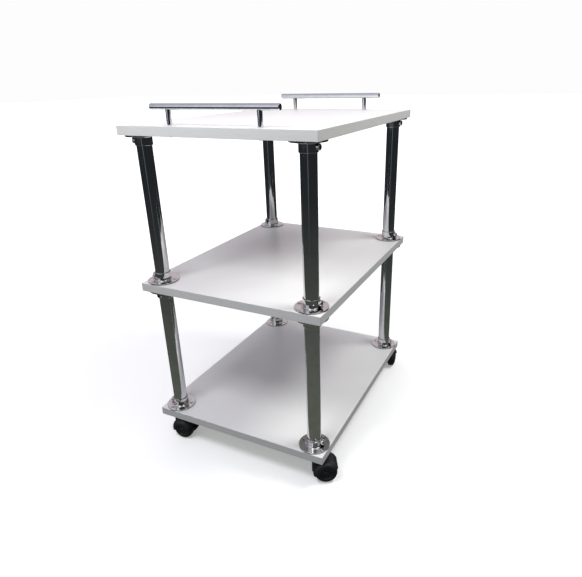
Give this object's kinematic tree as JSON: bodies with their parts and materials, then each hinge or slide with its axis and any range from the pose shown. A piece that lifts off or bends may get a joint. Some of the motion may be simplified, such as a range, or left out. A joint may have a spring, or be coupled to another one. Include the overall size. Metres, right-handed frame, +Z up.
{
  "type": "spa trolley cart",
  "caption": "Open tiered spa trolley: white rectangular boards on chrome tube posts with flanges, bar handles on the top board and swivel casters.",
  "frame": {"origin": "on the floor under the middle of the boards", "axes": "+Z up; +X towards the right-hand side, across the narrow width; -Y towards the front, along the length"},
  "size_m": [0.3846, 0.4671, 0.633],
  "materials": {
    "board_white": "white melamine-faced board, semi-gloss with a fine grain",
    "board_edging": "white edge band, semi-gloss",
    "post_chrome": "polished chrome plate",
    "flange_chrome": "polished chrome plate on die casting",
    "rail_chrome": "polished chrome plate",
    "plated_screws": "bright nickel plate",
    "set_screw_steel": "black oxide",
    "zinc_steel": "bright zinc plate",
    "caster_nylon": "black moulded nylon, satin",
    "caster_wheel": "black moulded nylon, matte and scuffed"
  },
  "bodies": {
    "frame": {"bottom_board": "board_white", "bottom_board_edging": "board_edging", "middle_board": "board_white", "middle_board_edging": "board_edging", "top_board": "board_white", "top_board_edging": "board_edging", "lower_post_front_left": "post_chrome", "lower_post_front_right": "post_chrome", "lower_post_rear_right": "post_chrome", "lower_post_rear_left": "post_chrome", "lower_foot_flange_front_left": "flange_chrome", "lower_head_flange_front_left": "flange_chrome", "lower_foot_flange_front_right": "flange_chrome", "lower_head_flange_front_right": "flange_chrome", "lower_foot_flange_rear_right": "flange_chrome", "lower_head_flange_rear_right": "flange_chrome", "lower_foot_flange_rear_left": "flange_chrome", "lower_head_flange_rear_left": "flange_chrome", "upper_post_front_left": "post_chrome", "upper_post_front_right": "post_chrome", "upper_post_rear_right": "post_chrome", "upper_post_rear_left": "post_chrome", "upper_foot_flange_front_left": "flange_chrome", "upper_head_flange_front_left": "flange_chrome", "upper_foot_flange_front_right": "flange_chrome", "upper_head_flange_front_right": "flange_chrome", "upper_foot_flange_rear_right": "flange_chrome", "upper_head_flange_rear_right": "flange_chrome", "upper_foot_flange_rear_left": "flange_chrome", "upper_head_flange_rear_left": "flange_chrome", "flange_screws": "plated_screws", "set_screws": "set_screw_steel", "caster_plate_screws": "plated_screws", "rail_handle_screws": "plated_screws", "front_rail_bar": "rail_chrome", "front_rail_posts": "rail_chrome", "rear_rail_bar": "rail_chrome", "rear_rail_posts": "rail_chrome", "caster_kingpins": "zinc_steel", "front_left_caster_plate": "zinc_steel", "front_right_caster_plate": "zinc_steel", "rear_right_caster_plate": "zinc_steel", "rear_left_caster_plate": "zinc_steel"},
    "front_left_caster": {"front_left_caster_body": "caster_nylon", "front_left_caster_axle": "zinc_steel"},
    "front_left_left_wheel": {"front_left_caster_left_wheel": "caster_wheel"},
    "front_left_right_wheel": {"front_left_caster_right_wheel": "caster_wheel"},
    "front_right_caster": {"front_right_caster_body": "caster_nylon", "front_right_caster_axle": "zinc_steel"},
    "front_right_left_wheel": {"front_right_caster_left_wheel": "caster_wheel"},
    "front_right_right_wheel": {"front_right_caster_right_wheel": "caster_wheel"},
    "rear_right_caster": {"rear_right_caster_body": "caster_nylon", "rear_right_caster_axle": "zinc_steel"},
    "rear_right_left_wheel": {"rear_right_caster_left_wheel": "caster_wheel"},
    "rear_right_right_wheel": {"rear_right_caster_right_wheel": "caster_wheel"},
    "rear_left_caster": {"rear_left_caster_body": "caster_nylon", "rear_left_caster_axle": "zinc_steel"},
    "rear_left_left_wheel": {"rear_left_caster_left_wheel": "caster_wheel"},
    "rear_left_right_wheel": {"rear_left_caster_right_wheel": "caster_wheel"}
  },
  "joints": [
    {"name": "front_left_swivel", "type": "hinge", "parent": "frame", "child": "front_left_caster", "pos_m": [-0.1535, -0.2035, 0.04], "axis": [0, 0, 1], "continuous": true},
    {"name": "front_left_left_wheel_spin", "type": "hinge", "parent": "front_left_caster", "child": "front_left_left_wheel", "pos_m": [-0.13706, -0.20206, 0.02], "axis": [-0.0872, 0.9962, 0], "continuous": true},
    {"name": "front_left_right_wheel_spin", "type": "hinge", "parent": "front_left_caster", "child": "front_left_right_wheel", "pos_m": [-0.13706, -0.20206, 0.02], "axis": [-0.0872, 0.9962, 0], "continuous": true},
    {"name": "front_right_swivel", "type": "hinge", "parent": "frame", "child": "front_right_caster", "pos_m": [0.1535, -0.2035, 0.04], "axis": [0, 0, 1], "continuous": true},
    {"name": "front_right_left_wheel_spin", "type": "hinge", "parent": "front_right_caster", "child": "front_right_left_wheel", "pos_m": [0.16779, -0.19525, 0.02], "axis": [-0.5, 0.866, 0], "continuous": true},
    {"name": "front_right_right_wheel_spin", "type": "hinge", "parent": "front_right_caster", "child": "front_right_right_wheel", "pos_m": [0.16779, -0.19525, 0.02], "axis": [-0.5, 0.866, 0], "continuous": true},
    {"name": "rear_right_swivel", "type": "hinge", "parent": "frame", "child": "rear_right_caster", "pos_m": [0.1535, 0.2035, 0.04], "axis": [0, 0, 1], "continuous": true},
    {"name": "rear_right_left_wheel_spin", "type": "hinge", "parent": "rear_right_caster", "child": "rear_right_left_wheel", "pos_m": [0.15206, 0.21994, 0.02], "axis": [-0.9962, -0.0872, 0], "continuous": true},
    {"name": "rear_right_right_wheel_spin", "type": "hinge", "parent": "rear_right_caster", "child": "rear_right_right_wheel", "pos_m": [0.15206, 0.21994, 0.02], "axis": [-0.9962, -0.0872, 0], "continuous": true},
    {"name": "rear_left_swivel", "type": "hinge", "parent": "frame", "child": "rear_left_caster", "pos_m": [-0.1535, 0.2035, 0.04], "axis": [0, 0, 1], "continuous": true},
    {"name": "rear_left_left_wheel_spin", "type": "hinge", "parent": "rear_left_caster", "child": "rear_left_left_wheel", "pos_m": [-0.17, 0.2035, 0.02], "axis": [0, -1, 0], "continuous": true},
    {"name": "rear_left_right_wheel_spin", "type": "hinge", "parent": "rear_left_caster", "child": "rear_left_right_wheel", "pos_m": [-0.17, 0.2035, 0.02], "axis": [0, -1, 0], "continuous": true}
  ]
}
